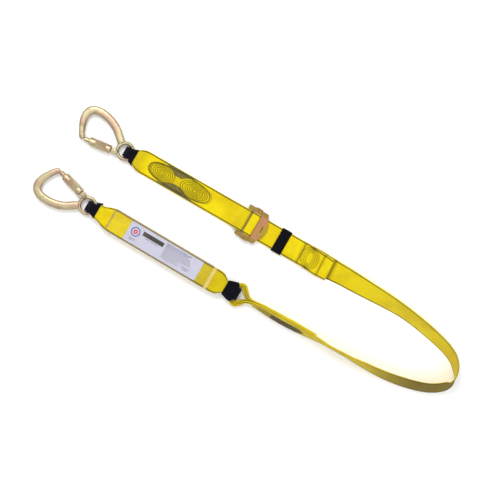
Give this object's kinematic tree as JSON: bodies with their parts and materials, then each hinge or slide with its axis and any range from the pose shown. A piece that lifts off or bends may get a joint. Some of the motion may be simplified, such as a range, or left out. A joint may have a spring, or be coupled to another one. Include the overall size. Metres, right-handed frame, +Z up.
{
  "type": "shock absorbing lanyard",
  "caption": "Adjustable webbing lanyard for fall protection with locking hooks at both ends, a bar buckle and a folded tear-webbing energy absorber in a clear sleeve.",
  "frame": {"origin": "middle of the laid-out lanyard's bounding box, on the surface it lies on", "axes": "+X along the straps, from the connectors to the webbing's turn; +Y from the absorber side to the adjuster side; +Z up, off the surface"},
  "size_m": [0.8794, 0.2108, 0.0462],
  "materials": {
    "connector_gold": "zinc plated with a yellow passivation, satin",
    "spring_steel": "bright drawn steel",
    "buckle_copper": "zinc plated with a warm iridescent passivation",
    "yellow_webbing": "woven polyester webbing with dark olive selvedges",
    "black_sleeve": "close woven nylon wear sleeve",
    "grey_thread": "bonded polyester sewing thread",
    "printed_label": null,
    "clear_film": "clear shrink film"
  },
  "bodies": {
    "webbing_and_adjuster": {"long_webbing": "yellow_webbing", "tail_stop_stitching": "grey_thread", "sewn_loop_stitching": "grey_thread", "adjuster_frame": "buckle_copper"},
    "sliding_bar": {"adjuster_sliding_bar": "buckle_copper"},
    "keeper": {"elastic_keeper": "black_sleeve"},
    "short_strap_set": {"short_strap": "yellow_webbing", "short_strap_wear_sleeve": "black_sleeve", "short_strap_stitching": "grey_thread"},
    "absorber": {"absorber_front_loop": "yellow_webbing", "absorber_rear_loop": "yellow_webbing", "absorber_front_wear_sleeve": "black_sleeve", "absorber_rear_wear_sleeve": "black_sleeve", "tear_webbing_pack": "yellow_webbing", "absorber_label": "printed_label", "absorber_clear_cover": "clear_film"},
    "upper_connector": {"upper_connector_body": "connector_gold", "upper_hinge_rivet": "spring_steel"},
    "upper_gate": {"upper_gate_arm": "connector_gold", "upper_guide_pin": "spring_steel", "upper_gate_spring": "spring_steel", "upper_sleeve_spring": "spring_steel"},
    "upper_collar": {"upper_lock_collar": "spring_steel"},
    "upper_lock": {"upper_lock_sleeve": "connector_gold"},
    "lower_connector": {"lower_connector_body": "connector_gold", "lower_hinge_rivet": "spring_steel"},
    "lower_gate": {"lower_gate_arm": "connector_gold", "lower_guide_pin": "spring_steel", "lower_gate_spring": "spring_steel", "lower_sleeve_spring": "spring_steel"},
    "lower_collar": {"lower_lock_collar": "spring_steel"},
    "lower_lock": {"lower_lock_sleeve": "connector_gold"}
  },
  "joints": [
    {"name": "short_strap_lift", "type": "hinge", "parent": "webbing_and_adjuster", "child": "short_strap_set", "pos_m": [-0.06054, 0.05662, 0.0094], "axis": [0, 1, 0], "range_deg": [0, 60]},
    {"name": "absorber_lift", "type": "hinge", "parent": "webbing_and_adjuster", "child": "absorber", "pos_m": [-0.00856, -0.07135, 0.0109], "axis": [0.0105, 0.9999, 0], "range_deg": [0, 45]},
    {"name": "sliding_bar_travel", "type": "slide", "parent": "webbing_and_adjuster", "child": "sliding_bar", "axis": [1, 0, 0], "range_m": [-0.0021, 0]},
    {"name": "keeper_slide", "type": "slide", "parent": "webbing_and_adjuster", "child": "keeper", "axis": [1, 0, 0], "range_m": [-0.02, 0.028]},
    {"name": "upper_connector_swing", "type": "hinge", "parent": "short_strap_set", "child": "upper_connector", "pos_m": [-0.30524, 0.05662, 0.0092], "axis": [0, 1, 0], "range_deg": [0, 75]},
    {"name": "upper_gate_opening", "type": "hinge", "parent": "upper_connector", "child": "upper_gate", "pos_m": [-0.33836, 0.04618, 0.0092], "axis": [0, 0, -1], "range_deg": [0, 24], "stiffness_Nm_per_rad": 0.04, "springref_deg": -20.05},
    {"name": "upper_collar_slide", "type": "slide", "parent": "upper_gate", "child": "upper_collar", "axis": [-0.9925, -0.1219, 0], "range_m": [0, 0.0045], "stiffness_N_per_m": 500, "springref_m": -0.004},
    {"name": "upper_lock_turn", "type": "hinge", "parent": "upper_collar", "child": "upper_lock", "pos_m": [-0.33836, 0.04618, 0.0092], "axis": [-0.9925, -0.1219, 0], "range_deg": [0, 90], "stiffness_Nm_per_rad": 0.008, "springref_deg": -28.65},
    {"name": "lower_connector_swing", "type": "hinge", "parent": "absorber", "child": "lower_connector", "pos_m": [-0.31574, -0.06814, 0.0092], "axis": [0.0105, 0.9999, 0], "range_deg": [0, 75]},
    {"name": "lower_gate_opening", "type": "hinge", "parent": "lower_connector", "child": "lower_gate", "pos_m": [-0.34705, -0.05493, 0.0092], "axis": [0, 0, 1], "range_deg": [0, 24], "stiffness_Nm_per_rad": 0.04, "springref_deg": -20.05},
    {"name": "lower_collar_slide", "type": "slide", "parent": "lower_gate", "child": "lower_collar", "axis": [-0.9622, 0.2723, 0], "range_m": [0, 0.0045], "stiffness_N_per_m": 500, "springref_m": -0.004},
    {"name": "lower_lock_turn", "type": "hinge", "parent": "lower_collar", "child": "lower_lock", "pos_m": [-0.34705, -0.05493, 0.0092], "axis": [-0.9622, 0.2723, 0], "range_deg": [0, 90], "stiffness_Nm_per_rad": 0.008, "springref_deg": -28.65}
  ]
}
